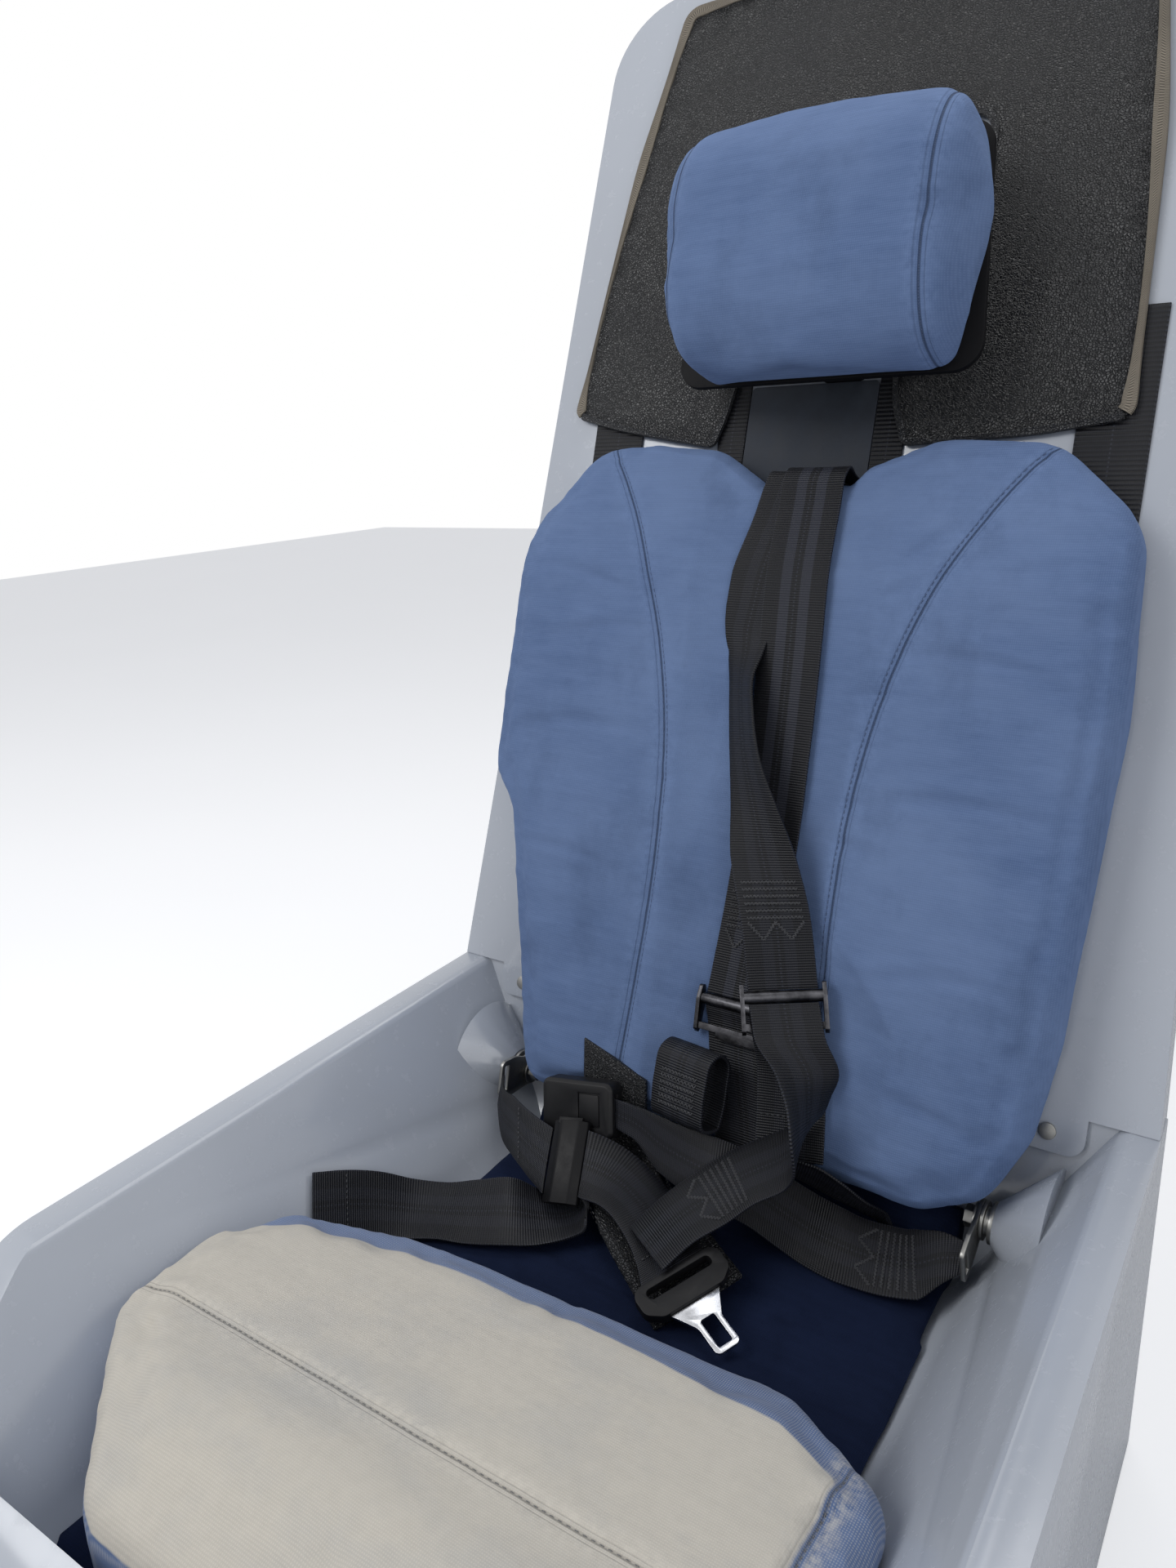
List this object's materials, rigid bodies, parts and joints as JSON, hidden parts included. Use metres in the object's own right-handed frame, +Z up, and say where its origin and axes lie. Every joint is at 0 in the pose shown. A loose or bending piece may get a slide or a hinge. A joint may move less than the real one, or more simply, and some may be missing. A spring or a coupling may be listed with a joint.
{
  "type": "aircraft seat",
  "caption": "Pilot's seat of a light aircraft: moulded pan, loose cushions, sliding headrest, leather cover and a four-point harness.",
  "frame": {"origin": "on the floor, under the middle of the seat's bounding box", "axes": "+Z up, the pilot faces -Y, +X is the door side"},
  "size_m": [0.6, 0.8796, 1.1206],
  "materials": {
    "grey_moulding": "gloss gelcoat",
    "navy_suede": "napped suede cloth",
    "blue_suede": "napped suede cloth",
    "black_leather": "grained, satin",
    "black_board": "matt",
    "black_plastic": "satin",
    "black_steel": "satin black",
    "zinc_steel": "zinc plated",
    "tongue_steel": "satin",
    "black_webbing": "ribbed polyester webbing"
  },
  "bodies": {
    "seat": {"adjuster_left": "black_steel", "adjuster_right": "black_steel", "anchor_bolt_left": "zinc_steel", "anchor_bolt_right": "zinc_steel", "anchor_bracket_left": "zinc_steel", "anchor_bracket_right": "zinc_steel", "back_cushion": "blue_suede", "base_pad": "navy_suede", "buckle": "black_plastic", "cushion_hanger_left": "black_webbing", "cushion_hanger_right": "black_webbing", "hanger_plate": "zinc_steel", "headrest_rail": "black_board", "lap_adjuster": "black_plastic", "lap_belt_inner": "black_webbing", "lap_belt_left": "black_webbing", "lap_belt_right": "black_webbing", "lap_belt_tail": "black_webbing", "leather_cover": "black_leather", "lower_strap_left": "black_webbing", "lower_strap_right": "black_webbing", "narrow_hanger_left": "black_webbing", "narrow_hanger_right": "black_webbing", "notch_board": "black_board", "panel_screws": "zinc_steel", "rear_panel": "grey_moulding", "seat_pan": "grey_moulding", "sewn_loop": "black_webbing", "shoulder_anchor": "zinc_steel", "shoulder_strap_left": "black_webbing", "shoulder_strap_right": "black_webbing", "strap_arch": "black_webbing", "strap_tail": "black_webbing", "thigh_cushion": "blue_suede", "tongue_frame": "black_plastic", "tongue_pad": "black_leather", "tongue_plate": "tongue_steel"},
    "headrest": {"headrest_carrier": "black_board", "headrest_pad": "blue_suede"}
  },
  "joints": [
    {"name": "headrest_slide", "type": "slide", "parent": "seat", "child": "headrest", "axis": [0, 0.3223, 0.9466], "range_m": [-0.045, 0]}
  ]
}
